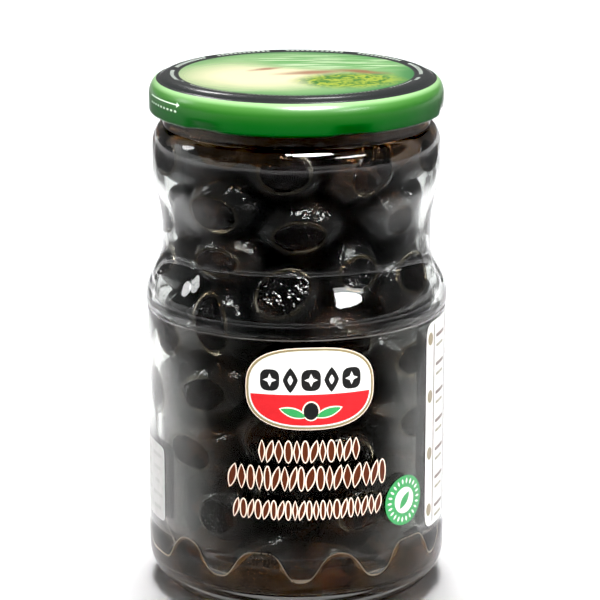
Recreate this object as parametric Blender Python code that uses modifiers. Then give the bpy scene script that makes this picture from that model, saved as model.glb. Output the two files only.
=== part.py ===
"""Jar of olives: a waisted glass jar with a twist-off lid, a clear label film and a heap of olives.

Run it with: blender --background --python part.py
Lengths are metres and +Z is up. The origin is the middle of the standing ring, at the bottom,
and the front of the label faces -Y.
"""

import math

import bmesh
import bpy
import numpy as np
from mathutils import Matrix, Vector

MM = 0.001
CLEARANCE = 0.3 * MM

# Glass jar, outside
NECK_RADIUS = 38.5 * MM
LIP_HEIGHT = 149.9 * MM
LIP_ROUNDING = 1.2 * MM
NECK_FOOT_HEIGHT = 137.6 * MM
UPPER_SHOULDER_RADIUS = 41.6 * MM
UPPER_SHOULDER_TOP = 131.0 * MM
UPPER_SHOULDER_FOOT = 125.5 * MM
WAIST_RADIUS = 38.9 * MM
WAIST_TOP = 106.0 * MM
WAIST_FOOT = 102.5 * MM
LOWER_SHOULDER_RADIUS = 43.9 * MM
LOWER_SHOULDER_TOP = 87.5 * MM
LOWER_SHOULDER_FOOT = 85.8 * MM
PANEL_RADIUS = 42.8 * MM
PANEL_TOP = 84.9 * MM
PANEL_FOOT = 18.9 * MM
HEEL_RADIUS = 43.7 * MM
HEEL_TOP = 18.0 * MM
HEEL_ROUNDING = 11.8 * MM
STANDING_RING_WIDTH = 2.6 * MM
PUSH_UP_RISE = 2.6 * MM
PUSH_UP_FLANK = 4.0 * MM

# Glass jar, inside
WALL = 2.9 * MM
NECK_WALL = 2.6 * MM
FLOOR_HEIGHT = 7.0 * MM
INNER_HEEL_ROUNDING = 9.0 * MM
INNER_HEEL_STEPS = 5
INNER_STEP_FOOT = 80.0 * MM

# Lid
LID_RADIUS = 42.25 * MM
LID_FOOT = 141.5 * MM
LID_PANEL_HEIGHT = 151.8 * MM
LID_PANEL_RADIUS = 33.7 * MM
LID_BEAD_RADIUS = 36.3 * MM
LID_BEAD_HEIGHT = 152.1 * MM
LID_SHOULDER_RADIUS = 39.6 * MM
LID_SHOULDER_HEIGHT = 150.8 * MM
LID_SKIRT_TOP = 146.4 * MM
LID_CURL_ROUNDING = 0.8 * MM
LID_SHEET = 0.45 * MM
LUG_COUNT = 6
LUG_FIRST_AZIMUTH = math.radians(21.8)
LUG_HALF_WIDTH = math.radians(8.5)
LUG_PRESS_DEPTH = 1.2 * MM
LUG_TOP = 144.6 * MM

# Label film and its printed fields
FILM_THICKNESS = 0.15 * MM
FILM_TOP = 84.4 * MM
FILM_FOOT = 20.0 * MM
PRINT_THICKNESS = 0.15 * MM
PRINT_BEND_STEP = 5.0 * MM
BADGE_CENTRE = (4.1 * MM, 70.5 * MM)
BADGE_HALF_SIZE = (18.6 * MM, 12.0 * MM)
BADGE_SQUARENESS = 2.7
SEAL_CENTRE = (34.4 * MM, 33.4 * MM)
SEAL_RADIUS = 7.4 * MM
ROWS = {
    "label_row_top": ((3.8 * MM, 52.1 * MM), (14.7 * MM, 3.4 * MM)),
    "label_row_middle": ((3.5 * MM, 44.1 * MM), (23.6 * MM, 3.9 * MM)),
    "label_row_foot": ((3.6 * MM, 34.7 * MM), (22.1 * MM, 3.4 * MM)),
}
ROW_SQUARENESS = 6.0
RIGHT_PANEL_CENTRE = (67.0 * MM, 52.5 * MM)
RIGHT_PANEL_HALF_SIZE = (22.5 * MM, 31.0 * MM)
LEFT_PANEL_CENTRE = (-67.0 * MM, 34.5 * MM)
LEFT_PANEL_HALF_SIZE = (20.5 * MM, 11.5 * MM)
PANEL_SQUARENESS = 16.0

# Olives
OLIVE_COUNT = 112
OLIVE_RADIUS = 8.9 * MM
OLIVE_HALF_LENGTH = 11.3 * MM
OLIVE_SIZE_SPREAD = 0.08
OLIVE_SWELL = 1.05
OLIVE_SEED = 7
OLIVE_SIDES = 7
OLIVE_RINGS = 5
HEAP_TOP = 139.0 * MM
HEAP_WALL_PRESS = 1.0 * MM
OLIVE_WALL_GAP = 0.8 * MM
HEAP_STEPS = 500
CORE_INSET = 8.5 * MM
OUTER_LAYER_DEPTH = 10.4 * MM

ROUND_STEPS = 36
LID_STEPS = 54


def clear_scene():
    for obj in list(bpy.data.objects):
        bpy.data.objects.remove(obj, do_unlink=True)


def make_collection(name):
    collection = bpy.data.collections.new(name)
    bpy.context.scene.collection.children.link(collection)
    return collection


def make_material(name, colour, roughness, metallic=0.0, transmission=0.0, alpha=1.0):
    material = bpy.data.materials.new(name)
    material.use_nodes = True
    shader = material.node_tree.nodes["Principled BSDF"]
    shader.inputs["Base Color"].default_value = (*colour, 1.0)
    shader.inputs["Roughness"].default_value = roughness
    shader.inputs["Metallic"].default_value = metallic
    shader.inputs["Transmission Weight"].default_value = transmission
    shader.inputs["Alpha"].default_value = alpha
    material.diffuse_color = (*colour, alpha)
    return material


def add_object(name, mesh, collection, material):
    obj = bpy.data.objects.new(name, mesh)
    mesh.materials.append(material)
    collection.objects.link(obj)
    return obj


def smooth_shade(mesh, angle=math.radians(40)):
    mesh.shade_smooth()
    mesh.set_sharp_from_angle(angle=angle)


def arc(centre, radii, start, end, steps):
    """Points of an ellipse arc in the (radius, height) plane, angles in degrees from +radius."""
    angles = [math.radians(start + (end - start) * i / steps) for i in range(steps + 1)]
    return [(centre[0] + radii[0] * math.cos(a), centre[1] + radii[1] * math.sin(a)) for a in angles]


def upper_flank(share):
    """Rise of the glass from the waist to the upper shoulder: slow at first, round at the end."""
    return share * share * (1 + 2 * share * (1 - share))


def lower_flank(share):
    """Even S-curve of the glass from the waist to the lower shoulder."""
    return share * share * (3 - 2 * share)


def outer_radius(height):
    """Outside radius of the glass between the heel and the neck."""
    if height >= UPPER_SHOULDER_TOP:
        share = min((height - UPPER_SHOULDER_TOP) / (NECK_FOOT_HEIGHT - UPPER_SHOULDER_TOP), 1.0)
        return NECK_RADIUS + (UPPER_SHOULDER_RADIUS - NECK_RADIUS) * math.sqrt(1 - share * share)
    if height >= UPPER_SHOULDER_FOOT:
        return UPPER_SHOULDER_RADIUS
    if height >= WAIST_TOP:
        share = (height - WAIST_TOP) / (UPPER_SHOULDER_FOOT - WAIST_TOP)
        return WAIST_RADIUS + (UPPER_SHOULDER_RADIUS - WAIST_RADIUS) * upper_flank(share)
    if height >= WAIST_FOOT:
        return WAIST_RADIUS
    if height >= LOWER_SHOULDER_TOP:
        share = (WAIST_FOOT - height) / (WAIST_FOOT - LOWER_SHOULDER_TOP)
        return WAIST_RADIUS + (LOWER_SHOULDER_RADIUS - WAIST_RADIUS) * lower_flank(share)
    if height >= LOWER_SHOULDER_FOOT:
        return LOWER_SHOULDER_RADIUS
    return PANEL_RADIUS


def inner_radius(height):
    """Inside radius of the glass at a height above the floor."""
    if height >= NECK_FOOT_HEIGHT:
        return NECK_RADIUS - NECK_WALL
    if height >= UPPER_SHOULDER_TOP:
        share = (height - UPPER_SHOULDER_TOP) / (NECK_FOOT_HEIGHT - UPPER_SHOULDER_TOP)
        top = NECK_RADIUS - NECK_WALL
        return top + (UPPER_SHOULDER_RADIUS - WALL - top) * math.sqrt(1 - share * share)
    if height >= LOWER_SHOULDER_TOP:
        return outer_radius(height) - WALL
    share = min((LOWER_SHOULDER_TOP - height) / (LOWER_SHOULDER_TOP - INNER_STEP_FOOT), 1.0)
    wall_radius = LOWER_SHOULDER_RADIUS - WALL - share * (LOWER_SHOULDER_RADIUS - PANEL_RADIUS)
    above_floor = height - FLOOR_HEIGHT
    if above_floor < INNER_HEEL_ROUNDING:
        rise = 1 - max(above_floor, 0.0) / INNER_HEEL_ROUNDING
        wall_radius -= INNER_HEEL_ROUNDING * (1 - math.sqrt(1 - rise * rise))
    return wall_radius


def spaced(top, foot, steps):
    return [top + (foot - top) * i / steps for i in range(steps + 1)]


def glass_profile():
    """Closed section of the jar: floor, inner wall, lip, outer wall, heel and push-up."""
    inner_heights = []
    for i in range(INNER_HEEL_STEPS + 1):
        angle = math.pi / 2 * i / INNER_HEEL_STEPS
        inner_heights.append(FLOOR_HEIGHT + INNER_HEEL_ROUNDING * (1 - math.cos(angle)))
    inner_heights += [INNER_STEP_FOOT]
    inner_heights += spaced(LOWER_SHOULDER_TOP, WAIST_FOOT, 3)
    inner_heights += spaced(WAIST_TOP, UPPER_SHOULDER_FOOT, 3)
    inner_heights += spaced(UPPER_SHOULDER_TOP, NECK_FOOT_HEIGHT, 3)
    profile = [(0.0, FLOOR_HEIGHT)]
    profile += [(inner_radius(height), height) for height in inner_heights]
    inner_lip = (NECK_RADIUS - NECK_WALL + LIP_ROUNDING, LIP_HEIGHT - LIP_ROUNDING)
    outer_lip = (NECK_RADIUS - LIP_ROUNDING, LIP_HEIGHT - LIP_ROUNDING)
    profile += arc(inner_lip, (LIP_ROUNDING, LIP_ROUNDING), 180, 90, 2)
    profile += arc(outer_lip, (LIP_ROUNDING, LIP_ROUNDING), 90, 0, 2)
    outer_heights = spaced(NECK_FOOT_HEIGHT, UPPER_SHOULDER_TOP, 5)
    outer_heights += spaced(UPPER_SHOULDER_FOOT, WAIST_TOP, 4)
    outer_heights += spaced(WAIST_FOOT, LOWER_SHOULDER_TOP, 5)
    outer_heights += [LOWER_SHOULDER_FOOT]
    profile += [(outer_radius(height), height) for height in outer_heights]
    profile += [(PANEL_RADIUS, PANEL_TOP), (PANEL_RADIUS, PANEL_FOOT), (HEEL_RADIUS, HEEL_TOP)]
    heel_centre = (HEEL_RADIUS - HEEL_ROUNDING, HEEL_ROUNDING)
    profile += arc(heel_centre, (HEEL_ROUNDING, HEEL_ROUNDING), 0, -90, 6)
    ring_inside = heel_centre[0] - STANDING_RING_WIDTH
    flank_centre = (ring_inside - PUSH_UP_FLANK, 0.0)
    profile += arc(flank_centre, (PUSH_UP_FLANK, PUSH_UP_RISE), 0, 90, 2)
    profile += [(0.0, PUSH_UP_RISE)]
    return profile


def turned_object(name, profile, steps, collection, material):
    """Turn a section about the Z axis with a Screw modifier."""
    mesh = bpy.data.meshes.new(name)
    edges = [(i, i + 1) for i in range(len(profile) - 1)]
    mesh.from_pydata([(radius, 0.0, height) for radius, height in profile], edges, [])
    obj = add_object(name, mesh, collection, material)
    screw = obj.modifiers.new("turn", "SCREW")
    screw.axis = "Z"
    screw.steps = steps
    screw.render_steps = steps
    screw.use_merge_vertices = True
    screw.merge_threshold = 0.00001
    screw.use_smooth_shade = True
    return obj


def freeze_modifiers(obj):
    """Replace the object's mesh with its evaluated mesh, and drop the modifiers."""
    depsgraph = bpy.context.evaluated_depsgraph_get()
    mesh = bpy.data.meshes.new_from_object(obj.evaluated_get(depsgraph))
    obj.modifiers.clear()
    obj.data = mesh


def make_glass(collection):
    material = make_material("clear_glass", (0.93, 0.96, 0.95), 0.03, transmission=1.0, alpha=0.35)
    glass = turned_object("jar_glass", glass_profile(), ROUND_STEPS, collection, material)
    freeze_modifiers(glass)
    smooth_shade(glass.data)


def lid_profile():
    """Closed section of the lid: top panel, bead, shoulder, skirt, curl, and back up inside."""
    curl_radius = LID_RADIUS - LID_CURL_ROUNDING
    curl_height = LID_FOOT + LID_CURL_ROUNDING
    skirt_bend = (LID_RADIUS - LID_SHOULDER_RADIUS, LID_SHOULDER_HEIGHT - LID_SKIRT_TOP)
    profile = [(0.0, LID_PANEL_HEIGHT), (LID_PANEL_RADIUS, LID_PANEL_HEIGHT)]
    profile += [(LID_BEAD_RADIUS, LID_BEAD_HEIGHT)]
    profile += [(LID_SHOULDER_RADIUS - 1.6 * MM, LID_BEAD_HEIGHT - 0.35 * MM)]
    profile += arc((LID_SHOULDER_RADIUS, LID_SKIRT_TOP), skirt_bend, 90, 0, 4)
    profile += [(LID_RADIUS, LUG_TOP)]
    profile += arc((curl_radius, curl_height), (LID_CURL_ROUNDING, LID_CURL_ROUNDING), 0, -180, 5)
    inner_radius_at_skirt = LID_RADIUS - LID_SHEET
    inner_curl_top = curl_height + LID_CURL_ROUNDING
    profile += [(inner_radius_at_skirt - 0.2 * MM, inner_curl_top)]
    profile += [(inner_radius_at_skirt, LID_SKIRT_TOP)]
    profile += [(LID_SHOULDER_RADIUS, LID_SHOULDER_HEIGHT - LID_SHEET)]
    profile += [(LID_PANEL_RADIUS, LID_PANEL_HEIGHT - LID_SHEET), (0.0, LID_PANEL_HEIGHT - LID_SHEET)]
    return profile


def lug_press(azimuth):
    """How far the curl is pressed in at an azimuth, from 0 to 1: full at each lug's middle."""
    pitch = 2 * math.pi / LUG_COUNT
    offset = (azimuth - LUG_FIRST_AZIMUTH + pitch / 2) % pitch - pitch / 2
    return max(0.0, 1 - abs(offset / LUG_HALF_WIDTH) ** 3)


def make_lid(collection):
    material = make_material("green_lid_paint", (0.02, 0.22, 0.05), 0.25, metallic=0.3)
    lid = turned_object("lid", lid_profile(), LID_STEPS, collection, material)
    freeze_modifiers(lid)
    for vertex in lid.data.vertices:
        x, y, z = vertex.co
        if z >= LUG_TOP - CLEARANCE:
            continue
        azimuth = math.atan2(x, -y)
        depth = LUG_PRESS_DEPTH * lug_press(azimuth)
        radius = math.hypot(x, y)
        vertex.co = Vector((x, y, 0.0)) * (1 - depth / radius) + Vector((0.0, 0.0, z))
    smooth_shade(lid.data)


def rounded_outline(centre, half_size, squareness, points=32):
    """A superellipse in the (along the label, height) plane: 2 is an ellipse, 16 nearly a box."""
    outline = []
    for i in range(points):
        angle = 2 * math.pi * i / points
        c, s = math.cos(angle), math.sin(angle)
        along = centre[0] + half_size[0] * math.copysign(abs(c) ** (2 / squareness), c)
        height = centre[1] + half_size[1] * math.copysign(abs(s) ** (2 / squareness), s)
        outline.append((along, height))
    return outline


def wrapped_plate(name, outline, radius, collection, material):
    """A thin closed plate with a flat outline, bent round the jar at a radius."""
    bm = bmesh.new()
    verts = [bm.verts.new((along, 0.0, height)) for along, height in outline]
    bm.faces.new(verts)
    lowest = min(point[0] for point in outline)
    highest = max(point[0] for point in outline)
    cuts = int((highest - lowest) / PRINT_BEND_STEP)
    for i in range(1, cuts + 1):
        along = lowest + (highest - lowest) * i / (cuts + 1)
        geometry = bm.verts[:] + bm.edges[:] + bm.faces[:]
        bmesh.ops.bisect_plane(bm, geom=geometry, plane_co=(along, 0, 0), plane_no=(1, 0, 0))
    bmesh.ops.triangulate(bm, faces=bm.faces[:])
    extruded = bmesh.ops.extrude_face_region(bm, geom=bm.faces[:])
    outer_verts = {item for item in extruded["geom"] if isinstance(item, bmesh.types.BMVert)}
    for vert in bm.verts:
        layer = radius + PRINT_THICKNESS if vert in outer_verts else radius
        azimuth = vert.co.x / radius
        vert.co = (layer * math.sin(azimuth), -layer * math.cos(azimuth), vert.co.z)
    bmesh.ops.recalc_face_normals(bm, faces=bm.faces[:])
    mesh = bpy.data.meshes.new(name)
    bm.to_mesh(mesh)
    bm.free()
    return add_object(name, mesh, collection, material)


def make_label(collection):
    film_material = make_material("clear_film", (0.95, 0.95, 0.93), 0.1, transmission=1.0, alpha=0.25)
    inside = PANEL_RADIUS + CLEARANCE
    outside = inside + FILM_THICKNESS
    ring = [(inside, FILM_FOOT), (inside, FILM_TOP), (outside, FILM_TOP), (outside, FILM_FOOT)]
    film = turned_object("label_film", ring + ring[:1], ROUND_STEPS, collection, film_material)
    freeze_modifiers(film)
    smooth_shade(film.data)

    radius = outside + CLEARANCE
    white = make_material("label_white_print", (0.82, 0.8, 0.76), 0.4)
    brown = make_material("label_brown_print", (0.16, 0.05, 0.02), 0.4)
    red = make_material("label_red_print", (0.6, 0.02, 0.02), 0.35)
    green = make_material("label_green_print", (0.04, 0.35, 0.14), 0.4)
    badge = rounded_outline(BADGE_CENTRE, BADGE_HALF_SIZE, BADGE_SQUARENESS)
    wrapped_plate("label_badge", badge, radius, collection, red)
    seal = rounded_outline(SEAL_CENTRE, (SEAL_RADIUS, SEAL_RADIUS), 2.0, 24)
    wrapped_plate("label_seal", seal, radius, collection, green)
    for name, (centre, half_size) in ROWS.items():
        row = rounded_outline(centre, half_size, ROW_SQUARENESS, 20)
        wrapped_plate(name, row, radius, collection, brown)
    right = rounded_outline(RIGHT_PANEL_CENTRE, RIGHT_PANEL_HALF_SIZE, PANEL_SQUARENESS, 20)
    wrapped_plate("label_right_panel", right, radius, collection, white)
    left = rounded_outline(LEFT_PANEL_CENTRE, LEFT_PANEL_HALF_SIZE, PANEL_SQUARENESS, 20)
    wrapped_plate("label_left_panel", left, radius, collection, white)


def settle_olives():
    """Let olives settle in the jar, each as two joined balls that push each other apart.

    Returns for each olive its two ball centres and its size.
    """
    rng = np.random.default_rng(OLIVE_SEED)
    size = 1 + OLIVE_SIZE_SPREAD * rng.uniform(-1, 1, OLIVE_COUNT)
    half_gap = (OLIVE_HALF_LENGTH - OLIVE_RADIUS) * size
    ball = np.repeat(OLIVE_RADIUS * size, 2)
    azimuth = rng.uniform(0, 2 * math.pi, OLIVE_COUNT)
    out = (PANEL_RADIUS - WALL - OLIVE_RADIUS) * np.sqrt(rng.uniform(0, 1, OLIVE_COUNT))
    height = rng.uniform(FLOOR_HEIGHT + OLIVE_RADIUS, HEAP_TOP - OLIVE_RADIUS, OLIVE_COUNT)
    centre = np.stack([out * np.cos(azimuth), out * np.sin(azimuth), height], axis=1)
    axis = rng.normal(size=(OLIVE_COUNT, 3))
    axis /= np.linalg.norm(axis, axis=1, keepdims=True)
    ends = np.stack([centre - axis * half_gap[:, None], centre + axis * half_gap[:, None]], axis=1)
    points = ends.reshape(-1, 3)
    owner = np.repeat(np.arange(OLIVE_COUNT), 2)
    reach = ball[:, None] + ball[None, :]
    other = owner[:, None] != owner[None, :]
    wall_heights = np.linspace(0, LIP_HEIGHT, 300)
    wall_radii = np.array([inner_radius(height) for height in wall_heights])
    for _ in range(HEAP_STEPS):
        away = points[:, None, :] - points[None, :, :]
        distance = np.linalg.norm(away, axis=2) + 1e-9
        overlap = np.where(other, np.maximum(reach - distance, 0.0), 0.0)
        points = points + 0.3 * (away / distance[:, :, None] * overlap[:, :, None]).sum(axis=1)
        points[:, 2] = np.clip(points[:, 2], FLOOR_HEIGHT + ball - HEAP_WALL_PRESS, HEAP_TOP - ball)
        room = np.interp(points[:, 2], wall_heights, wall_radii) - ball + HEAP_WALL_PRESS
        radius = np.linalg.norm(points[:, :2], axis=1)
        points[:, :2] *= np.minimum(1.0, room / radius)[:, None]
        pairs = points.reshape(-1, 2, 3)
        middle = pairs.mean(axis=1)
        axis = pairs[:, 1] - pairs[:, 0]
        axis /= np.linalg.norm(axis, axis=1, keepdims=True)
        pairs = np.stack([middle - axis * half_gap[:, None], middle + axis * half_gap[:, None]], axis=1)
        points = pairs.reshape(-1, 3)
    return points.reshape(-1, 2, 3), size


def olive_mesh(first, second, size):
    """One olive with few sides, flattened where it would pass the glass."""
    bm = bmesh.new()
    bmesh.ops.create_uvsphere(bm, u_segments=OLIVE_SIDES, v_segments=OLIVE_RINGS, radius=1.0)
    radius = OLIVE_RADIUS * size * OLIVE_SWELL
    half_length = OLIVE_HALF_LENGTH * size * OLIVE_SWELL
    first, second = Vector(first), Vector(second)
    turn = Vector((0, 0, 1)).rotation_difference(second - first).to_matrix().to_4x4()
    stretch = Matrix.Diagonal((radius, radius, half_length, 1.0))
    bmesh.ops.transform(bm, matrix=Matrix.Translation((first + second) / 2) @ turn @ stretch, verts=bm.verts)
    for vert in bm.verts:
        vert.co.z = min(max(vert.co.z, FLOOR_HEIGHT + CLEARANCE), HEAP_TOP)
        room = inner_radius(vert.co.z) - OLIVE_WALL_GAP
        out = math.hypot(vert.co.x, vert.co.y)
        if out > room:
            vert.co.x *= room / out
            vert.co.y *= room / out
    mesh = bpy.data.meshes.new("olive")
    bm.to_mesh(mesh)
    bm.free()
    return mesh


def core_profile():
    """Section of the heap's core, a plug that stays behind the olives on the wall."""
    low = FLOOR_HEIGHT + CORE_INSET
    high = HEAP_TOP - CORE_INSET
    heights = spaced(high, low, 10)
    profile = [(0.0, high)]
    profile += [(inner_radius(height) - CORE_INSET, height) for height in heights]
    profile += [(0.0, low)]
    return profile


def keep_largest_shell(mesh):
    """Drop loose scraps and fill sealed hollows, by keeping the widest connected shell alone."""
    bm = bmesh.new()
    bm.from_mesh(mesh)
    unseen = set(bm.verts)
    shells = []
    while unseen:
        stack = [unseen.pop()]
        shell = [stack[0]]
        while stack:
            for edge in stack.pop().link_edges:
                for vert in edge.verts:
                    if vert in unseen:
                        unseen.remove(vert)
                        stack.append(vert)
                        shell.append(vert)
        shells.append(shell)
    shells.sort(key=len)
    for shell in shells[:-1]:
        bmesh.ops.delete(bm, geom=shell, context="VERTS")
    bmesh.ops.triangulate(bm, faces=bm.faces[:])
    bm.to_mesh(mesh)
    bm.free()


def make_olives(collection, cutters):
    material = make_material("black_olive_skin", (0.012, 0.009, 0.009), 0.22)
    heap = turned_object("olives", core_profile(), 16, collection, material)
    freeze_modifiers(heap)
    pairs, sizes = settle_olives()
    for i, ((first, second), size) in enumerate(zip(pairs, sizes)):
        middle = (first + second) / 2
        depth = inner_radius(middle[2]) - math.hypot(middle[0], middle[1])
        near_floor = middle[2] < FLOOR_HEIGHT + OUTER_LAYER_DEPTH
        if depth < OUTER_LAYER_DEPTH or near_floor:
            olive = bpy.data.objects.new(f"olive_{i:03d}", olive_mesh(first, second, size))
            olive.hide_render = True
            olive.display_type = "WIRE"
            cutters.objects.link(olive)
    union = heap.modifiers.new("fuse", "BOOLEAN")
    union.operation = "UNION"
    union.operand_type = "COLLECTION"
    union.collection = cutters
    union.solver = "MANIFOLD"
    freeze_modifiers(heap)
    for olive in list(cutters.objects):
        bpy.data.objects.remove(olive, do_unlink=True)
    keep_largest_shell(heap.data)
    smooth_shade(heap.data, math.radians(50))


def main():
    clear_scene()
    parts = make_collection("jar_of_olives")
    cutters = make_collection("cutters")
    make_glass(parts)
    make_lid(parts)
    make_label(parts)
    make_olives(parts, cutters)


main()
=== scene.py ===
"""Looks of the jar of olives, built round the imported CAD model.

The jar, the lid, the olives and the label are refined meshes at the CAD's own sizes, and each
has a procedural material. Lengths are metres, +Z is up, and the label faces -Y.
"""

from math import atan2, copysign, cos, hypot, pi, radians, sin, sqrt

import bmesh
import bpy
import numpy as np
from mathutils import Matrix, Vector
from mathutils.bvhtree import BVHTree


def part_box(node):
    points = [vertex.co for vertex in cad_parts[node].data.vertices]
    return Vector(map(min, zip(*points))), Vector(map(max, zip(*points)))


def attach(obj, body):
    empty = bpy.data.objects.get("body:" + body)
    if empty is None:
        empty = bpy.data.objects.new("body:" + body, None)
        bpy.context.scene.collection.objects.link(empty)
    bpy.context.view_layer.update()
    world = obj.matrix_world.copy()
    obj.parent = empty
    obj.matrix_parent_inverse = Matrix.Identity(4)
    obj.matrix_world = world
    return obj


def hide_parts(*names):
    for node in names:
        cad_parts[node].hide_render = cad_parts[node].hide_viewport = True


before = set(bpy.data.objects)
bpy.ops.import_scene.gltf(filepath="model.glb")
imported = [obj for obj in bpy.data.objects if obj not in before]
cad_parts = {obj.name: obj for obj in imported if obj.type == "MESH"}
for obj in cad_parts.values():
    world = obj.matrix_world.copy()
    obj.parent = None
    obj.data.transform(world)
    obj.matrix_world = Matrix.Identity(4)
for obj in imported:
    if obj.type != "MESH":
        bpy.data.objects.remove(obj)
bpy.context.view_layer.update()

MM = 0.001

# Camera, fitted to the ellipses of the lid and the label and to the jar's outline
CAMERA_DISTANCE = 0.787
CAMERA_HEIGHT = 0.2983
CAMERA_DOWN = radians(15.2)
FOCAL_PIXELS = 2789.0
IMAGE_SIZE = 600.0
SENSOR_MM = 36.0
JAR_AXIS_PIXEL = 296.4

# Light that the picture's contrast takes off its darkest tones
HAZE = 0.0145

# Lights on the floor alone: name, centre, height, size, spread. Close in front it stays unlit,
# because the glass mirrors it there.
FLOOR_WATTS = 5.08
FLOOR_LIGHTS = [
    ("softbox_back", (0.0, 0.66), 0.4, (0.52, 1.4), 24),
    ("far_back", (0.0, 3.2), 0.9, (1.6, 3.6), 56),
    ("far_front", (0.0, -3.05), 0.9, (10.0, 3.9), 56),
    ("far_left", (-2.9, 1.95), 0.9, (4.2, 6.1), 56),
    ("far_right", (2.9, 1.95), 0.9, (4.2, 6.1), 56),
]

# Glass jar, outside
LID_LOW, LID_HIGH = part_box("lid")
GLASS_LOW, GLASS_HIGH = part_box("jar_glass")
LIP_HEIGHT = GLASS_HIGH.z
LOWER_SHOULDER_RADIUS = GLASS_HIGH.x
NECK_RADIUS = 38.5 * MM
LIP_ROUNDING = 1.2 * MM
NECK_FOOT_HEIGHT = 137.6 * MM
UPPER_SHOULDER_RADIUS = 41.6 * MM
UPPER_SHOULDER_TOP = 131.0 * MM
UPPER_SHOULDER_FOOT = 125.5 * MM
WAIST_RADIUS = 38.9 * MM
WAIST_TOP = 106.0 * MM
WAIST_FOOT = 102.5 * MM
LOWER_SHOULDER_TOP = 87.5 * MM
LOWER_SHOULDER_FOOT = 85.8 * MM
PANEL_RADIUS = 43.3 * MM
PANEL_TOP = 85.2 * MM
PANEL_FOOT = 18.9 * MM
HEEL_RADIUS = 43.7 * MM
HEEL_TOP = 18.0 * MM
HEEL_ROUNDING = 11.8 * MM
STANDING_RING_WIDTH = 2.6 * MM
PUSH_UP_RISE = 2.6 * MM
PUSH_UP_FLANK = 4.0 * MM
SEAM_AZIMUTH = radians(-1.4)
SEAM_HALF_WIDTH = radians(0.6)
SEAM_HEIGHT = 0.12 * MM

# Glass jar, inside
INNER_PANEL_RADIUS = 39.9 * MM
WALL = 2.9 * MM
NECK_WALL = 2.6 * MM
FLOOR_HEIGHT = 7.0 * MM
INNER_HEEL_ROUNDING = 9.0 * MM
INNER_STEP_FOOT = 80.0 * MM
WALL_WAVE = 0.05 * MM
INTO_GLASS = 0.06 * MM

# Lid
LID_RADIUS = LID_HIGH.x
LID_FOOT = LID_LOW.z
LID_PANEL_HEIGHT = 151.8 * MM
LID_PANEL_RADIUS = 33.7 * MM
LID_BEAD_RADIUS = 36.3 * MM
LID_BEAD_HEIGHT = LID_HIGH.z
LID_SHOULDER_RADIUS = 39.6 * MM
LID_SHOULDER_HEIGHT = 150.8 * MM
LID_RING_RADIUS = 40.2 * MM
LID_SKIRT_TOP = 146.4 * MM
LID_CURL_ROUNDING = 0.8 * MM
LID_SHEET = 0.35 * MM
LUG_COUNT = 6
LUG_FIRST_AZIMUTH = radians(21.8)
LUG_HALF_WIDTH = radians(8.5)
LUG_PRESS_DEPTH = 0.6 * MM
LUG_TOP = 144.6 * MM
LUG_RAMP = 2.2 * MM
LUG_LIFT = 0.25 * MM

# Olives
OLIVE_COUNT = 112
OLIVE_RADIUS = 8.9 * MM
OLIVE_HALF_LENGTH = 11.3 * MM
OLIVE_SIZE_SPREAD = 0.08
OLIVE_SWELL = 1.05
OLIVE_SEED = 7
HEAP_TOP = 139.0 * MM
HEAP_WALL_PRESS = 1.0 * MM
HEAP_STEPS = 500
OLIVE_OUTER_SIDES = (38, 24)
OLIVE_INNER_SIDES = (16, 10)
OUTER_LAYER_DEPTH = 13.0 * MM
WRINKLE_DEPTH = 0.2 * MM
CRINKLE_DEPTH = 0.85 * MM

# Oil
OIL_LEVEL = 12.0 * MM
# Height of the pale band at the oil's top edge, a painted highlight of the oil line
OIL_HIGHLIGHT_BAND = 0.45 * MM
OIL_CLIMB_TOP = 21.0 * MM
OIL_CLIMB_GAP = 1.5 * MM
MENISCUS_WIDTH = 0.55 * MM
MENISCUS_LOWEST = 19.0 * MM
SMALLEST_CONTACT = 1.2 * MM
NECK_OIL_FOOT = 133.5 * MM
NECK_OIL_TOP = 147.0 * MM
NECK_OIL_DEPTH = 0.35 * MM

# Label
FILM_INSIDE = PANEL_RADIUS + 0.13 * MM
FILM_THICKNESS = 0.06 * MM
FILM_TOP = 84.6 * MM
FILM_FOOT = 20.0 * MM
PRINT_RADIUS = FILM_INSIDE + FILM_THICKNESS + 0.01 * MM
PRINT_LAYER = 0.03 * MM
PRINT_GAP = 0.01 * MM
BEND_STEP = 2.0 * MM


def upper_flank(share):
    return share * share * (1 + 2 * share * (1 - share))


def lower_flank(share):
    return share * share * (3 - 2 * share)


def share_of(height, start, end):
    return min((height - start) / (end - start), 1.0)


def outer_radius(height):
    """Outside radius of the glass between the heel and the neck."""
    if height >= UPPER_SHOULDER_TOP:
        share = share_of(height, UPPER_SHOULDER_TOP, NECK_FOOT_HEIGHT)
        return NECK_RADIUS + (UPPER_SHOULDER_RADIUS - NECK_RADIUS) * sqrt(1 - share * share)
    if height >= UPPER_SHOULDER_FOOT:
        return UPPER_SHOULDER_RADIUS
    if height >= WAIST_TOP:
        share = share_of(height, WAIST_TOP, UPPER_SHOULDER_FOOT)
        return WAIST_RADIUS + (UPPER_SHOULDER_RADIUS - WAIST_RADIUS) * upper_flank(share)
    if height >= WAIST_FOOT:
        return WAIST_RADIUS
    if height >= LOWER_SHOULDER_TOP:
        share = (WAIST_FOOT - height) / (WAIST_FOOT - LOWER_SHOULDER_TOP)
        return WAIST_RADIUS + (LOWER_SHOULDER_RADIUS - WAIST_RADIUS) * lower_flank(share)
    if height >= LOWER_SHOULDER_FOOT:
        return LOWER_SHOULDER_RADIUS
    return PANEL_RADIUS


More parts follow.
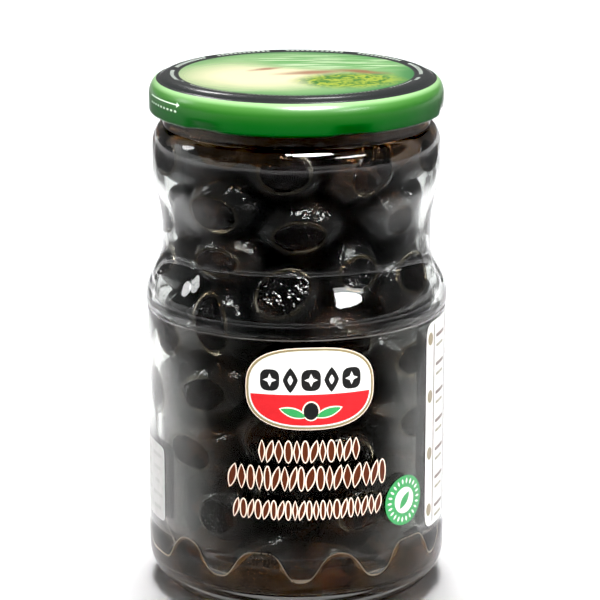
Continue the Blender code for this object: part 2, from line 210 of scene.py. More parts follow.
def inner_radius(height):
    """Inside radius of the glass at a height above the floor."""
    if height >= NECK_FOOT_HEIGHT:
        return NECK_RADIUS - NECK_WALL
    if height >= UPPER_SHOULDER_TOP:
        share = share_of(height, UPPER_SHOULDER_TOP, NECK_FOOT_HEIGHT)
        top = NECK_RADIUS - NECK_WALL
        return top + (UPPER_SHOULDER_RADIUS - WALL - top) * sqrt(1 - share * share)
    if height >= LOWER_SHOULDER_TOP:
        return outer_radius(height) - WALL
    share = min((LOWER_SHOULDER_TOP - height) / (LOWER_SHOULDER_TOP - INNER_STEP_FOOT), 1.0)
    widest = LOWER_SHOULDER_RADIUS - WALL
    wall_radius = widest - share * (widest - INNER_PANEL_RADIUS)
    above_floor = height - FLOOR_HEIGHT
    if above_floor < INNER_HEEL_ROUNDING:
        rise = 1 - max(above_floor, 0.0) / INNER_HEEL_ROUNDING
        wall_radius -= INNER_HEEL_ROUNDING * (1 - sqrt(1 - rise * rise))
    return wall_radius


WALL_HEIGHTS = np.linspace(0, LIP_HEIGHT, 600)
WALL_RADII = np.array([inner_radius(height) for height in WALL_HEIGHTS])


def inner_radii(heights):
    return np.interp(heights, WALL_HEIGHTS, WALL_RADII)


def spaced(start, end, steps):
    return [start + (end - start) * i / steps for i in range(steps + 1)]


def arc(centre, radii, start, end, steps):
    """Points of an ellipse arc in the (radius, height) plane, angles in degrees from +radius."""
    angles = [radians(start + (end - start) * i / steps) for i in range(steps + 1)]
    return [(centre[0] + radii[0] * cos(a), centre[1] + radii[1] * sin(a)) for a in angles]


# Meshes


def ring_point(radius, azimuth, height):
    """A point about the jar's axis; azimuth 0 is the front."""
    return radius * sin(azimuth), -radius * cos(azimuth), height


def join_rows(bm, rows, closed=True):
    """Fill between neighbouring rows of vertices all round; returns each face with its place in the row."""
    size = len(rows[0])
    faces = []
    for row, following in zip(rows, rows[1:] + rows[:1]):
        for j in range(size if closed else size - 1):
            k = (j + 1) % size
            faces.append((j, bm.faces.new([row[j], following[j], following[k], row[k]])))
    return faces


def add_object(name, data):
    obj = bpy.data.objects.new(name, data)
    bpy.context.scene.collection.objects.link(obj)
    return obj


def finish_object(name, bm, materials, smooth_angle=radians(35)):
    bmesh.ops.recalc_face_normals(bm, faces=bm.faces[:])
    mesh = bpy.data.meshes.new(name)
    bm.to_mesh(mesh)
    bm.free()
    mesh.shade_smooth()
    mesh.set_sharp_from_angle(angle=smooth_angle)
    for material in materials:
        mesh.materials.append(material)
    return add_object(name, mesh)


def revolve(profile, azimuths, shift=None):
    """Turn a section about Z through the azimuths. shift moves a point (r, z) by azimuth."""
    bm = bmesh.new()
    rows = []
    for radius, height in profile:
        if radius < 1e-7:
            rows.append([bm.verts.new((0, 0, height))])
            continue
        row = []
        for azimuth in azimuths:
            r, z = (radius, height) if shift is None else shift(radius, height, azimuth)
            row.append(bm.verts.new(ring_point(r, azimuth, z)))
        rows.append(row)
    count = len(azimuths)
    for upper, lower in zip(rows, rows[1:]):
        for i in range(count):
            j = (i + 1) % count
            pairs = ((upper, i), (upper, j), (lower, j), (lower, i))
            face = list(dict.fromkeys(row[k % len(row)] for row, k in pairs))
            if len(face) > 2:
                bm.faces.new(face)
    return bm


def even_azimuths(count):
    return [2 * pi * i / count for i in range(count)]


# Materials


def new_material(name, colour, roughness, **inputs):
    """A Principled material; inputs are socket names with _ for a space."""
    material = bpy.data.materials.new(name)
    material.use_nodes = True
    shader = material.node_tree.nodes["Principled BSDF"]
    shader.inputs["Base Color"].default_value = (*colour, 1.0)
    shader.inputs["Roughness"].default_value = roughness
    for socket, value in inputs.items():
        shader.inputs[socket.replace("_", " ")].default_value = value
    return material


def add_node(material, kind, values=None, **settings):
    """Add a node, set its named properties, and set or link its inputs from values."""
    node = material.node_tree.nodes.new(kind)
    for key, value in settings.items():
        setattr(node, key, value)
    for socket, value in (values or {}).items():
        if isinstance(value, bpy.types.NodeSocket):
            material.node_tree.links.new(value, node.inputs[socket])
        else:
            node.inputs[socket].default_value = value
    return node


def place(material, axis=None):
    """The place on the object, or one of its coordinates."""
    where = add_node(material, "ShaderNodeTexCoord").outputs["Object"]
    if axis is None:
        return where
    return add_node(material, "ShaderNodeSeparateXYZ", {"Vector": where}).outputs[axis]


def noise(material, vector, scale, detail=3.0, distortion=0.0):
    values = {"Vector": vector, "Scale": scale, "Detail": detail, "Distortion": distortion}
    return add_node(material, "ShaderNodeTexNoise", values).outputs["Fac"]


def maths(material, operation, first, second=0.0, third=0.0):
    values = {0: first, 1: second, 2: third}
    return add_node(material, "ShaderNodeMath", values, operation=operation).outputs[0]


def remap(material, value, low, high, highest=1.0):
    """Map low to 0 and high to highest."""
    values = {"Value": value, "From Min": low, "From Max": high, "To Max": highest}
    return add_node(material, "ShaderNodeMapRange", values).outputs["Result"]


def ramp(material, factor, stops):
    """A colour ramp; stops are (position, colour)."""
    node = add_node(material, "ShaderNodeValToRGB", {"Fac": factor})
    elements = node.color_ramp.elements
    while len(elements) < len(stops):
        elements.new(0.5)
    for element, (position, colour) in zip(elements, stops):
        element.position = position
        element.color = (*colour, 1.0)
    return node.outputs["Color"]


def mix_colour(material, factor, first, second):
    """Mix two colours or sockets; 0, 6 and 7 are the node's factor and its two colours."""
    values = {0: factor}
    for socket, value in ((6, first), (7, second)):
        values[socket] = value if isinstance(value, bpy.types.NodeSocket) else (*value, 1.0)
    return add_node(material, "ShaderNodeMix", values, data_type="RGBA").outputs[2]


def to_shader(material, socket, value):
    shader = material.node_tree.nodes["Principled BSDF"]
    material.node_tree.links.new(value, shader.inputs[socket])


def tint(material, factor, stops):
    to_shader(material, "Base Color", ramp(material, factor, stops))


def add_bump(material, height, strength, distance, filter_width=0.1):
    """Bump the surface. A narrow filter keeps creases crisp when they are seen through glass."""
    values = {"Height": height, "Strength": strength, "Distance": distance, "Filter Width": filter_width}
    bump = add_node(material, "ShaderNodeBump", values)
    to_shader(material, "Normal", bump.outputs["Normal"])


def glass_material():
    material = new_material("flint_glass", (0.94, 0.96, 0.945), 0.0, Transmission_Weight=1.0, IOR=1.5)
    where = place(material)
    orange_peel = maths(material, "MULTIPLY", noise(material, where, 600.0, 1.0), 0.11)
    add_bump(material, maths(material, "ADD", noise(material, where, 55.0, 2.0), orange_peel), 0.12, 0.6 * MM)
    return material


def oil_material(name, dark, light, clearness=1.0):
    material = new_material(name, light, 0.0, Transmission_Weight=clearness, IOR=1.47)
    values = {"Vector": place(material), "Scale": (1.0, 1.0, 0.25)}
    streaked = add_node(material, "ShaderNodeMapping", values).outputs["Vector"]
    drift = noise(material, streaked, 160.0, 3.0, 0.6)
    tint(material, drift, [(0.35, dark), (0.65, light)])
    return material


def ridges(material, where, scale, distortion=0.0):
    """Creased lines: high where a noise passes its middle value."""
    level = noise(material, where, scale, 1.0, distortion)
    return maths(material, "ABSOLUTE", maths(material, "SUBTRACT", level, 0.5))


def olive_material():
    material = new_material("black_olive_skin", (0.008, 0.006, 0.006), 0.08, IOR=1.5)
    where = place(material)
    patches = noise(material, where, 70.0, 3.0)
    stops = [(0.3, (0.003, 0.004, 0.005)), (0.5, (0.006, 0.004, 0.004)), (0.75, (0.04, 0.018, 0.009))]
    depth = remap(material, place(material, "Z"), LOWER_SHOULDER_TOP, OIL_LEVEL)
    soaked = maths(material, "MULTIPLY", depth, noise(material, where, 22.0, 1.0))
    brown = mix_colour(material, soaked, (1.0, 1.0, 1.0), (3.3, 2.1, 1.05))
    values = {0: ramp(material, patches, stops), 1: brown}
    skin = add_node(material, "ShaderNodeVectorMath", values, operation="MULTIPLY")
    to_shader(material, "Base Color", skin.outputs["Vector"])
    to_shader(material, "Roughness", remap(material, patches, 0.0, 1.0, 0.1))
    broad = ridges(material, where, 210.0, 0.6)
    fine = ridges(material, where, 430.0, 0.6)
    crinkle = maths(material, "ADD", broad, maths(material, "MULTIPLY", fine, 0.45))
    add_bump(material, crinkle, 1.0, CRINKLE_DEPTH, 0.005)
    return material


def lacquer_material():
    """The lid's green lacquer, with painted light: painted shade darkest at the foot and a painted highlight
    pale round the shoulder.
    """
    material = new_material(
        "green_lacquer_painted_light", (0.01, 0.18, 0.025), 0.3,
        Coat_Weight=0.06, Coat_Roughness=0.12, Specular_IOR_Level=0.35,
    )
    where = place(material)
    share = remap(material, place(material, "Z"), LID_FOOT, LID_SHOULDER_HEIGHT)
    # Height ramp plus a little random tone: painted shade low on the skirt, rising to a painted highlight at
    # the shoulder
    painted_light_level = maths(material, "ADD", share, maths(material, "MULTIPLY", noise(material, where, 25.0, 2.0), 0.1))
    stops = [
        (0.0, (0.001, 0.034, 0.004)), (0.4, (0.002, 0.048, 0.004)), (0.7, (0.01, 0.065, 0.007)),
        (0.9, (0.035, 0.11, 0.022)), (1.0, (0.13, 0.23, 0.1)),
    ]
    tint(material, painted_light_level, stops)
    add_bump(material, noise(material, where, 1500.0, 2.0), 0.03, 0.1 * MM)
    return material


def patch(material, where, centre, half, turn=0.0, soft=0.3):
    """1 inside an ellipse on the lid and 0 outside it, with a soft edge."""
    values = {"Vector": where, "Location": (centre[0] * MM, centre[1] * MM, LID_PANEL_HEIGHT)}
    values["Rotation"] = (0.0, 0.0, radians(turn))
    values["Scale"] = (half[0] * MM, half[1] * MM, 1.0)
    moved = add_node(material, "ShaderNodeMapping", values, vector_type="TEXTURE").outputs["Vector"]
    far = add_node(material, "ShaderNodeVectorMath", {0: moved}, operation="LENGTH").outputs["Value"]
    return remap(material, far, 1.0 + soft, 1.0 - soft)


def ring_material():
    """The lid's black printed ring, with pale ticks in a band that runs further out at the back."""
    material = new_material("black_lacquer", (0.01, 0.012, 0.012), 0.25, Coat_Weight=0.2, Coat_Roughness=0.06)

    def sum_of(operation, *values):
        return maths(material, operation, *values)

    x, y = place(material, "X"), place(material, "Y")
    radius = sum_of("SQRT", sum_of("ADD", sum_of("MULTIPLY", x, x), sum_of("MULTIPLY", y, y)))
    turn = sum_of("ARCTAN2", y, x)
    backward = sum_of("GREATER_THAN", y, -12 * MM)
    band = sum_of("MULTIPLY_ADD", backward, 1.0 * MM, 34.6 * MM)
    half_width = sum_of("MULTIPLY_ADD", backward, 0.25 * MM, 0.3 * MM)
    in_band = sum_of("LESS_THAN", sum_of("ABSOLUTE", sum_of("SUBTRACT", radius, band)), half_width)
    on_beat = sum_of("GREATER_THAN", sum_of("SINE", sum_of("MULTIPLY", turn, 150.0)), -0.2)
    in_phrase = sum_of("GREATER_THAN", sum_of("SINE", sum_of("MULTIPLY", turn, 10.0)), -0.8)
    tick = sum_of("MULTIPLY", sum_of("MULTIPLY", on_beat, in_phrase), in_band)
    colour = mix_colour(material, tick, (0.008, 0.009, 0.009), (0.3, 0.34, 0.3))
    to_shader(material, "Base Color", colour)
    return material


def picture_material():
    """The lid's painted disc: cream light on green, foliage, pale streaks and a few rust strokes."""
    material = new_material("lid_disc_print", (0.3, 0.6, 0.2), 0.25, Coat_Weight=0.3, Coat_Roughness=0.1)
    where = place(material)
    waver = noise(material, where, 120.0, 3.0)
    values = {0: (4 * MM, 4 * MM, 0.0), 3: waver}
    drift = add_node(material, "ShaderNodeVectorMath", values, operation="SCALE").outputs["Vector"]
    values = {0: where, 1: drift}
    shaken = add_node(material, "ShaderNodeVectorMath", values, operation="ADD").outputs["Vector"]
    colour = (0.004, 0.07, 0.017)
    for centre, half, soft, light in (
        ((1.0, 1.0), (33.0, 33.0), 0.14, (0.05, 0.16, 0.04)),
        ((-3.0, 2.0), (26.0, 26.0), 0.4, (0.19, 0.27, 0.13)),
        ((-9.0, -3.0), (19.0, 17.0), 0.45, (0.4, 0.37, 0.24)),
    ):
        colour = mix_colour(material, patch(material, shaken, centre, half, soft=soft), colour, light)
    values = {"Vector": where, "Rotation": (0.0, 0.0, radians(-32)), "Scale": (1.0, 7.0, 1.0)}
    combed = add_node(material, "ShaderNodeMapping", values).outputs["Vector"]
    strands = remap(material, noise(material, combed, 60.0, 3.0), 0.45, 0.62)
    meadow = patch(material, shaken, (12.0, 19.0), (24.0, 11.0), -8.0, 0.35)
    streaks = maths(material, "MULTIPLY", strands, meadow)
    colour = mix_colour(material, meadow, colour, (0.065, 0.19, 0.05))
    colour = mix_colour(material, streaks, colour, (0.26, 0.34, 0.2))
    clumps = remap(material, noise(material, where, 330.0, 3.0, 1.5), 0.42, 0.56)
    foliage = patch(material, shaken, (17.0, -9.0), (14.0, 11.0), 12.0, 0.25)
    leaves = mix_colour(material, clumps, (0.02, 0.09, 0.005), (0.17, 0.22, 0.014))
    colour = mix_colour(material, foliage, colour, leaves)
    for centre, half, turn in (
        ((7.0, 3.0), (8.5, 2.4), 14.0), ((21.0, 4.5), (6.5, 2.2), -22.0), ((-7.0, 8.0), (4.0, 1.6), 30.0),
    ):
        stroke = maths(material, "MULTIPLY", patch(material, shaken, centre, half, turn, 0.6), 0.8)
        colour = mix_colour(material, stroke, colour, (0.15, 0.035, 0.014))
    to_shader(material, "Base Color", colour)
    return material


def ink(name, colour, spread=0.06):
    """A printed ink: nearly flat, with slight mottling and the grain of the film."""
    material = new_material(name, colour, 0.32, Coat_Weight=0.4, Coat_Roughness=0.12)
    where = place(material)
    mottle = noise(material, where, 400.0, 4.0)
    light = tuple(min(1.0, c * (1 + spread)) for c in colour)
    dark = tuple(c * (1 - spread) for c in colour)
    tint(material, mottle, [(0.35, dark), (0.65, light)])
    return material


def film_material():
    material = new_material("clear_film", (0.97, 0.97, 0.96), 0.0, Transmission_Weight=1.0, IOR=1.2)
    add_bump(material, noise(material, place(material), 90.0, 2.0), 0.05, 0.3 * MM)
    return material


def film_edge_material():
    material = new_material("film_edge", (0.6, 0.57, 0.52), 0.25, Alpha=0.14)
    tone = noise(material, place(material), 300.0, 3.0)
    tint(material, tone, [(0.3, (0.3, 0.25, 0.2)), (0.6, (0.7, 0.68, 0.65))])
    return material


# Glass


def glass_profile():
    """Closed section of the jar: floor, inner wall, lip, outer wall, heel and push-up."""
    heel = [pi / 2 * i / 12 for i in range(13)]
    inner_heights = [FLOOR_HEIGHT + INNER_HEEL_ROUNDING * (1 - cos(angle)) for angle in heel]
    inner_heights += spaced(20 * MM, INNER_STEP_FOOT, 20)
    inner_heights += spaced(INNER_STEP_FOOT + 1 * MM, LOWER_SHOULDER_TOP, 5)
    inner_heights += spaced(LOWER_SHOULDER_TOP + 1 * MM, UPPER_SHOULDER_FOOT, 26)
    inner_heights += spaced(UPPER_SHOULDER_TOP - 2 * MM, UPPER_SHOULDER_TOP, 2)
    shoulder = [pi / 2 * i / 12 for i in range(1, 13)]
    rise = NECK_FOOT_HEIGHT - UPPER_SHOULDER_TOP
    shoulder_heights = [UPPER_SHOULDER_TOP + rise * sin(angle) for angle in shoulder]
    inner_heights += shoulder_heights
    profile = [(0.0, FLOOR_HEIGHT), (15 * MM, FLOOR_HEIGHT)]
    profile += [(inner_radius(height), height) for height in inner_heights]
    inner_lip = (NECK_RADIUS - NECK_WALL + LIP_ROUNDING, LIP_HEIGHT - LIP_ROUNDING)
    outer_lip = (NECK_RADIUS - LIP_ROUNDING, LIP_HEIGHT - LIP_ROUNDING)
    profile += arc(inner_lip, (LIP_ROUNDING, LIP_ROUNDING), 180, 90, 5)
    profile += arc(outer_lip, (LIP_ROUNDING, LIP_ROUNDING), 90, 0, 5)
    profile += [(NECK_RADIUS, NECK_FOOT_HEIGHT + 3 * MM), (NECK_RADIUS, NECK_FOOT_HEIGHT + 1 * MM)]
    outer_heights = shoulder_heights[::-1]
    outer_heights += spaced(UPPER_SHOULDER_TOP, UPPER_SHOULDER_FOOT, 4)
    outer_heights += spaced(UPPER_SHOULDER_FOOT - 0.7 * MM, LOWER_SHOULDER_TOP, 40)
    outer_heights += [LOWER_SHOULDER_FOOT]
    profile += [(outer_radius(height), height) for height in outer_heights]
    profile += [(PANEL_RADIUS + 0.3 * MM, PANEL_TOP + 0.35 * MM), (PANEL_RADIUS, PANEL_TOP)]
    profile += [(PANEL_RADIUS, height) for height in spaced(PANEL_TOP - 2 * MM, PANEL_FOOT, 12)]
    profile += [(HEEL_RADIUS, HEEL_TOP)]
    heel_centre = (HEEL_RADIUS - HEEL_ROUNDING, HEEL_ROUNDING)
    profile += arc(heel_centre, (HEEL_ROUNDING, HEEL_ROUNDING), 0, -90, 16)
    ring_inside = heel_centre[0] - STANDING_RING_WIDTH
    profile += arc((ring_inside - PUSH_UP_FLANK, 0.0), (PUSH_UP_FLANK, PUSH_UP_RISE), 0, 90, 6)
    profile += [(10 * MM, PUSH_UP_RISE), (0.0, PUSH_UP_RISE)]
    return profile


def seam_rise(azimuth):
    """Height of the two mould seams, at the front and the back."""
    offset = (azimuth - SEAM_AZIMUTH + pi / 2) % pi - pi / 2
    return SEAM_HEIGHT * max(0.0, 1 - (offset / SEAM_HALF_WIDTH) ** 2)


def wall_wave(height, azimuth):
    """Slow uneven swelling of the inner wall, as blown glass has."""
    along = height / (31 * MM)
    return WALL_WAVE * (
        np.sin(9 * azimuth + 1.3 * np.sin(along * 2.1))
        + 0.6 * np.sin(23 * azimuth + 2.2 * along)
        + 0.5 * np.sin(4 * azimuth - 5.1 * along)
    )


def wall_at(height, azimuth):
    """Radius of the inner wall with its swelling, for numbers or arrays."""
    swell = np.where(np.asarray(height) > NECK_FOOT_HEIGHT, 0.0, wall_wave(height, azimuth))
    return inner_radii(height) + swell


def glass_shift(radius, height, azimuth):
    if radius < 20 * MM or height > NECK_FOOT_HEIGHT:
        return radius, height
    if height > FLOOR_HEIGHT and radius < outer_radius(max(height, 20 * MM)) - 1.5 * MM:
        return radius + wall_wave(height, azimuth), height
    return radius + seam_rise(azimuth), height


def seamed_azimuths(count):
    """Even azimuths with more of them across the two mould seams."""
    azimuths = set(even_azimuths(count))
    for seam in (SEAM_AZIMUTH, SEAM_AZIMUTH + pi):
        for step in range(-6, 7):
            azimuths.add((seam + SEAM_HALF_WIDTH * step / 5) % (2 * pi))
    return sorted(azimuths)


def make_glass():
    bm = revolve(glass_profile(), seamed_azimuths(216), glass_shift)
    glass = finish_object("glass_body", bm, [glass_material()], radians(60))
    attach(glass, "root")
    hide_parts("jar_glass")
    return glass


# Lid


def lid_profile():
    """Closed section of the lid: top panel, bead, shoulder, skirt, curl, and back up inside."""
    curl = (LID_RADIUS - LID_CURL_ROUNDING, LID_FOOT + LID_CURL_ROUNDING)
    bend = (LID_RADIUS - LID_SHOULDER_RADIUS, LID_SHOULDER_HEIGHT - LID_SKIRT_TOP)
    bead_foot = LID_PANEL_HEIGHT + 0.02 * MM
    panel_radii = (0.0, 12 * MM, 24 * MM, LID_PANEL_RADIUS - 0.4 * MM)
    profile = [(radius, LID_PANEL_HEIGHT) for radius in panel_radii]
    profile += [(LID_PANEL_RADIUS, bead_foot)]
    drop = LID_BEAD_HEIGHT - LID_SHOULDER_HEIGHT
    for share in spaced(0.0, 1.0, 5)[1:]:
        radius = LID_PANEL_RADIUS + (LID_BEAD_RADIUS - LID_PANEL_RADIUS) * share
        profile.append((radius, bead_foot + (LID_BEAD_HEIGHT - bead_foot) * lower_flank(share)))
    for share in spaced(0.0, 1.0, 6)[1:]:
        radius = LID_BEAD_RADIUS + (LID_SHOULDER_RADIUS - LID_BEAD_RADIUS) * share
        profile.append((radius, LID_BEAD_HEIGHT - drop * share * share))
    profile += arc((LID_SHOULDER_RADIUS, LID_SKIRT_TOP), bend, 90, 0, 14)[1:]
    profile += [(LID_RADIUS, height) for height in spaced(LID_SKIRT_TOP - 0.6 * MM, LUG_TOP, 2)]
    profile += [(LID_RADIUS, height) for height in spaced(LUG_TOP - 0.4 * MM, curl[1] + 0.3 * MM, 3)]
    profile += arc(curl, (LID_CURL_ROUNDING, LID_CURL_ROUNDING), 0, -180, 10)
    profile += [(LID_RADIUS - LID_SHEET - 0.2 * MM, curl[1] + LID_CURL_ROUNDING)]
    profile += [(LID_RADIUS - LID_SHEET, LID_SKIRT_TOP)]
    inner_bend = (bend[0] - LID_SHEET, bend[1] - LID_SHEET)
    profile += arc((LID_SHOULDER_RADIUS, LID_SKIRT_TOP), inner_bend, 0, 90, 6)[1:]
    profile += [(LID_PANEL_RADIUS, LID_PANEL_HEIGHT - LID_SHEET), (0.0, LID_PANEL_HEIGHT - LID_SHEET)]
    return profile


def lug_press(azimuth):
    pitch = 2 * pi / LUG_COUNT
    offset = (azimuth - LUG_FIRST_AZIMUTH + pitch / 2) % pitch - pitch / 2
    return max(0.0, 1 - abs(offset / LUG_HALF_WIDTH) ** 3)


def lid_shift(radius, height, azimuth):
    """Press the rolled edge in at each lug, most at the foot, and lift it a little."""
    if height >= LUG_TOP:
        return radius, height
    press = lug_press(azimuth) * min(1.0, (LUG_TOP - height) / LUG_RAMP)
    return radius - LUG_PRESS_DEPTH * press, height + LUG_LIFT * press


def make_lid():
    bm = revolve(lid_profile(), even_azimuths(240), lid_shift)
    for face in bm.faces:
        centre = face.calc_center_median()
        radius = hypot(centre.x, centre.y)
        on_top = centre.z > LID_SHOULDER_HEIGHT - 0.25 * MM
        inside = centre.z < LID_PANEL_HEIGHT - 0.9 * LID_SHEET and radius < LID_PANEL_RADIUS
        if radius < LID_PANEL_RADIUS and not inside:
            face.material_index = 2
        elif radius < LID_RING_RADIUS and on_top and not inside:
            face.material_index = 1
    materials = [lacquer_material(), ring_material(), picture_material()]
    lid = finish_object("lid_shell", bm, materials, radians(50))
    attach(lid, "root")
    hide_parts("lid")
    return lid


# Olives


def settle_olives():
    """Let olives settle in the jar, each as two joined balls that push each other apart.

    Returns for each olive its two ball centres and its size.
    """
    rng = np.random.default_rng(OLIVE_SEED)
    size = 1 + OLIVE_SIZE_SPREAD * rng.uniform(-1, 1, OLIVE_COUNT)
    half_gap = (OLIVE_HALF_LENGTH - OLIVE_RADIUS) * size
    ball = np.repeat(OLIVE_RADIUS * size, 2)
    azimuth = rng.uniform(0, 2 * pi, OLIVE_COUNT)
    out = (INNER_PANEL_RADIUS - OLIVE_RADIUS) * np.sqrt(rng.uniform(0, 1, OLIVE_COUNT))
    height = rng.uniform(FLOOR_HEIGHT + OLIVE_RADIUS, HEAP_TOP - OLIVE_RADIUS, OLIVE_COUNT)
    centre = np.stack([out * np.cos(azimuth), out * np.sin(azimuth), height], axis=1)
    axis = rng.normal(size=(OLIVE_COUNT, 3))
    axis /= np.linalg.norm(axis, axis=1, keepdims=True)
    arm = half_gap[:, None]
    points = np.stack([centre - axis * arm, centre + axis * arm], axis=1).reshape(-1, 3)
    owner = np.repeat(np.arange(OLIVE_COUNT), 2)
    reach = ball[:, None] + ball[None, :]
    other = owner[:, None] != owner[None, :]
    wall_heights = np.linspace(0, LIP_HEIGHT, 300)
    wall_radii = np.array([inner_radius(height) for height in wall_heights])
    for _ in range(HEAP_STEPS):
        away = points[:, None, :] - points[None, :, :]
        distance = np.linalg.norm(away, axis=2) + 1e-9
        overlap = np.where(other, np.maximum(reach - distance, 0.0), 0.0)
        points = points + 0.3 * (away / distance[:, :, None] * overlap[:, :, None]).sum(axis=1)
        points[:, 2] = np.clip(points[:, 2], FLOOR_HEIGHT + ball - HEAP_WALL_PRESS, HEAP_TOP - ball)
        room = np.interp(points[:, 2], wall_heights, wall_radii) - ball + HEAP_WALL_PRESS
        radius = np.linalg.norm(points[:, :2], axis=1)
        points[:, :2] *= np.minimum(1.0, room / radius)[:, None]
        pairs = points.reshape(-1, 2, 3)
        middle = pairs.mean(axis=1)
        axis = pairs[:, 1] - pairs[:, 0]
        axis /= np.linalg.norm(axis, axis=1, keepdims=True)
        points = np.stack([middle - axis * arm, middle + axis * arm], axis=1).reshape(-1, 3)
    return points.reshape(-1, 2, 3), size


def unit_sphere(sides, rings):
    """Points and faces of a sphere about Z with poles, in an order that is the same each run."""
    bm = bmesh.new()
    bmesh.ops.create_uvsphere(bm, u_segments=sides, v_segments=rings, radius=1.0)
    points = np.array([vert.co[:] for vert in bm.verts])
    faces = [[vert.index for vert in face.verts] for face in bm.faces]
    bm.free()
    order = np.lexsort(points.T)
    rank = np.argsort(order).tolist()
    faces = [[rank[index] for index in face] for face in faces]
    return points[order], sorted(faces, key=sorted)


def wrinkle(points, rng):
    """Radial unevenness of one olive's skin, between about -1 and 1: broad dents and finer creases."""
    total = np.zeros(len(points))
    for frequency, weight in ((2.2, 0.9), (4.5, 0.6), (9.0, 0.35), (15.0, 0.22)):
        for _ in range(3):
            direction = rng.normal(size=3)
            phase = rng.uniform(0, 2 * pi)
            total += weight / 3 * np.sin(frequency * (points @ direction) + phase)
    return total


def make_olives():
    pairs, sizes = settle_olives()
    rng = np.random.default_rng(OLIVE_SEED + 1)
    fine, rough = unit_sphere(*OLIVE_OUTER_SIDES), unit_sphere(*OLIVE_INNER_SIDES)
    all_points, all_faces, contacts = [], [], []
    offset = 0
    for (first, second), size in zip(pairs, sizes):
        middle = (first + second) / 2
        depth = inner_radii(middle[2]) - hypot(middle[0], middle[1])
        sphere, faces = fine if depth < OUTER_LAYER_DEPTH else rough
        axis = (second - first) / np.linalg.norm(second - first)
        side = np.cross(axis, [0.31, 0.17, 0.94])
        side /= np.linalg.norm(side)
        across = np.cross(axis, side)
        plump = rng.uniform(0.96, 1.03)
        radius = OLIVE_RADIUS * size * OLIVE_SWELL * plump
        length = OLIVE_HALF_LENGTH * size * OLIVE_SWELL
        taper = 1 + rng.uniform(-0.08, 0.08) * sphere[:, 2]
        skin = 1 + WRINKLE_DEPTH / OLIVE_RADIUS * wrinkle(sphere, rng)
        local = sphere * np.stack([radius * taper, radius * taper, np.full(len(sphere), length)], axis=1)
        local *= skin[:, None]
        world = middle + local[:, :1] * side + local[:, 1:2] * across + local[:, 2:] * axis
        world[:, 2] = np.clip(world[:, 2], FLOOR_HEIGHT - INTO_GLASS, HEAP_TOP)
        limit = wall_at(world[:, 2], np.arctan2(world[:, 0], -world[:, 1])) + INTO_GLASS
        out = np.hypot(world[:, 0], world[:, 1])
        pressed = out > limit
        world[:, :2] *= np.minimum(1.0, limit / out)[:, None]
        if pressed.sum() > 10 and world[pressed, 2].min() > MENISCUS_LOWEST:
            contacts.append((world[pressed], radius))
        all_points.append(world)
        all_faces += [[index + offset for index in face] for face in faces]
        offset += len(world)
    mesh = bpy.data.meshes.new("olive_heap")
    mesh.from_pydata(np.concatenate(all_points).tolist(), [], all_faces)
    bm = bmesh.new()
    bm.from_mesh(mesh)
    bpy.data.meshes.remove(mesh)
    olives = finish_object("olive_heap", bm, [olive_material()], radians(75))
    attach(olives, "root")
    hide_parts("olives")
    return olives, contacts


# Oil


def meniscus_ring(bm, contact, olive_radius):
    """A ring of oil drawn into the wedge round one olive's flat contact with the glass."""
    azimuths = np.arctan2(contact[:, 0], -contact[:, 1])
    base = atan2(np.sin(azimuths).mean(), np.cos(azimuths).mean())
    wall = float(inner_radii(contact[:, 2].mean()))
    along = ((azimuths - base + pi) % (2 * pi) - pi) * wall
    flat = np.stack([along, contact[:, 2]], axis=1)
    centre = flat.mean(axis=0)
    values, vectors = np.linalg.eigh(np.cov((flat - centre).T))
    half = 2.0 * np.sqrt(np.maximum(values, 1e-9))
    if half.max() < SMALLEST_CONTACT:
        return

    def gap(beyond, reach):
        return ((reach + beyond) ** 2 - reach ** 2) / (2 * olive_radius)

    # Points across the rim: share of its width, depth from the wall, and share of the gap
    section = [
        (-0.7, -0.04 * MM, 0.0), (1.0, -0.04 * MM, 0.0), (0.97, 0.02 * MM, 0.03), (0.72, 0.0, 0.22),
        (0.66, 0.0, 0.55), (0.78, 0.0, 0.92), (0.86, 0.12 * MM, 1.0), (-0.3, 0.2 * MM, 1.0),
    ]
    rows = []
    count = 36
    for i in range(count):
        angle = 2 * pi * i / count
        spoke = vectors @ (half * np.array([cos(angle), sin(angle)]))
        reach = float(np.linalg.norm(spoke))
        spoke = spoke / reach
        row = []
        for beyond, extra, share in section:
            depth = extra + share * gap(max(beyond, 0.0) * MENISCUS_WIDTH, reach)
            point = centre + spoke * (reach + beyond * MENISCUS_WIDTH)
            azimuth = base + point[0] / wall
            radius = float(wall_at(point[1], azimuth)) - depth
            row.append(bm.verts.new(ring_point(radius, azimuth, point[1])))
        rows.append(row)
    join_rows(bm, rows)


def climb_heights(olives, azimuths):
    """How high the oil is drawn up the glass at each azimuth, where an olive nearly touches it."""
    mesh = olives.data
    points = [vert.co.copy() for vert in mesh.vertices]
    tree = BVHTree.FromPolygons(points, [list(face.vertices) for face in mesh.polygons])
    outside = 1 * MM
    result = []
    for azimuth in azimuths:
        inward = -Vector(ring_point(1.0, azimuth, 0.0))
        top = height = OIL_LEVEL
        while height < OIL_CLIMB_TOP:
            start = -inward * (float(inner_radii(height)) + outside) + Vector((0, 0, height))
            distance = tree.ray_cast(start, inward, 12 * MM)[3]
            if distance is None or distance - outside > OIL_CLIMB_GAP:
                break
            top = height
            height += 0.3 * MM
        result.append(top)
    return np.array(result)


def smooth_ring(values, passes):
    for _ in range(passes):
        values = 0.25 * np.roll(values, 1) + 0.5 * values + 0.25 * np.roll(values, -1)
    return values


